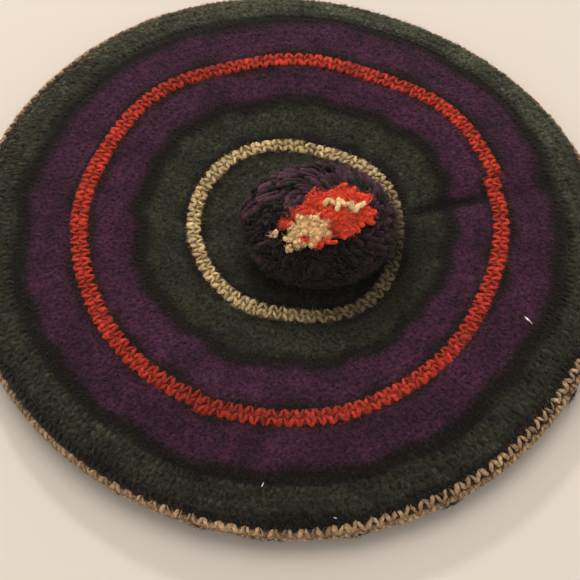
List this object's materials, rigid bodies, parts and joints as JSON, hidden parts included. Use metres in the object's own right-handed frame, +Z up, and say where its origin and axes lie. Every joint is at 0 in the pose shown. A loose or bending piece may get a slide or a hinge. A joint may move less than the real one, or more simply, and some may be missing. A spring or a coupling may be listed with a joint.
{
  "type": "knit beret",
  "caption": "Flat round knitted wool beret with colour rounds, a folded cream rim, an open underside for the head and a yarn pompom on the crown, lying on a surface.",
  "frame": {"origin": "on the surface that the beret lies on, below the middle of its outline", "axes": "+Z up through the crown, +X to the right and +Y to the back of the view in the picture"},
  "size_m": [0.2895, 0.2818, 0.0463],
  "materials": {
    "green_wool": "fulled dark green wool knit, matt and fuzzy",
    "purple_wool": "fulled dark purple wool knit, matt and fuzzy",
    "black_wool": "fulled black wool knit, matt and fuzzy",
    "red_wool": "orange red wool yarn, matt",
    "cream_wool": "cream wool yarn, matt"
  },
  "bodies": {
    "root": {"crown_top": "green_wool", "rim_edge": "cream_wool", "underside": "green_wool", "head_band": "green_wool", "pompom": "purple_wool"}
  },
  "joints": []
}
